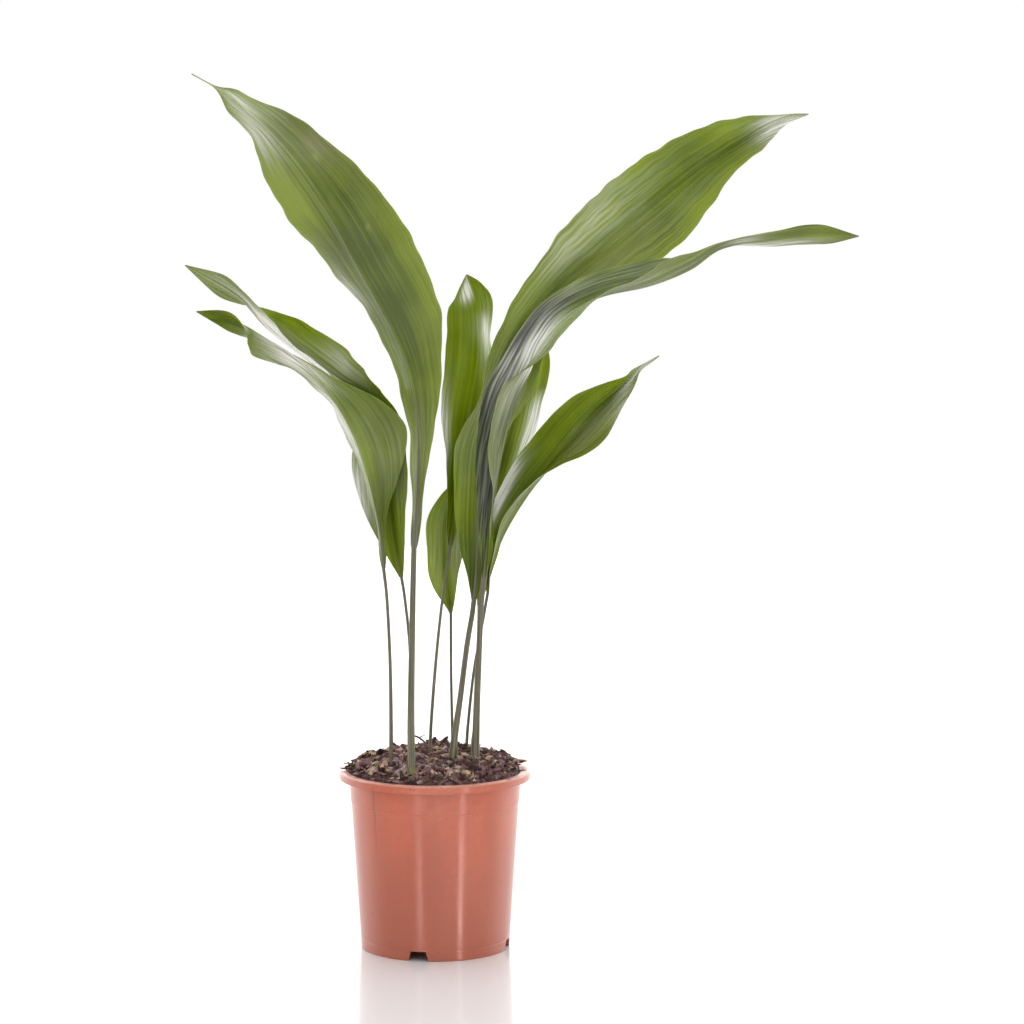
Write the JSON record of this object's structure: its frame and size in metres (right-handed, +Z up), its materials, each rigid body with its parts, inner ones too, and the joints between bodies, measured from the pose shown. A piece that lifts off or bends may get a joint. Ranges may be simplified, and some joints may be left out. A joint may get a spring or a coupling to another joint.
{
  "type": "potted cast iron plant",
  "caption": "Young cast iron plant (Aspidistra) with long arching strap leaves on bare stalks, in a round terracotta-coloured plastic nursery pot of bark compost.",
  "frame": {"origin": "centre of the pot's base, on the pot's axis at floor level", "axes": "+Z up, -Y towards the picture's camera, +X to the camera's right; the tallest leaf leans to -X and -Y"},
  "size_m": [0.5866, 0.2952, 0.7717],
  "materials": {
    "pot_plastic": "injection-moulded terracotta-coloured plastic, glossy",
    "bark_compost": "loose composted bark chips and fibre, matt and rough",
    "leaf_blade": "living leaf, waxy upper side and duller underside, finely ribbed lengthways",
    "leaf_stalk": "living leaf stalk, satin grey-olive",
    "leaf_sheath": "thin basal leaf sheath, matt yellow-green"
  },
  "bodies": {
    "root": {"pot": "pot_plastic", "bark_compost": "bark_compost", "leaf_left_tall_stalk": "leaf_stalk", "leaf_left_tall_blade": "leaf_blade", "leaf_left_tall_sheath": "leaf_sheath", "leaf_right_tall_stalk": "leaf_stalk", "leaf_right_tall_blade": "leaf_blade", "leaf_right_tall_sheath": "leaf_sheath", "leaf_right_twisted_stalk": "leaf_stalk", "leaf_right_twisted_blade": "leaf_blade", "leaf_right_twisted_sheath": "leaf_sheath", "leaf_left_front_stalk": "leaf_stalk", "leaf_left_front_blade": "leaf_blade", "leaf_left_back_stalk": "leaf_stalk", "leaf_left_back_blade": "leaf_blade", "leaf_middle_tall_stalk": "leaf_stalk", "leaf_middle_tall_blade": "leaf_blade", "leaf_middle_short_stalk": "leaf_stalk", "leaf_middle_short_blade": "leaf_blade", "leaf_right_low_stalk": "leaf_stalk", "leaf_right_low_blade": "leaf_blade", "leaf_right_back_stalk": "leaf_stalk", "leaf_right_back_blade": "leaf_blade"}
  },
  "joints": []
}
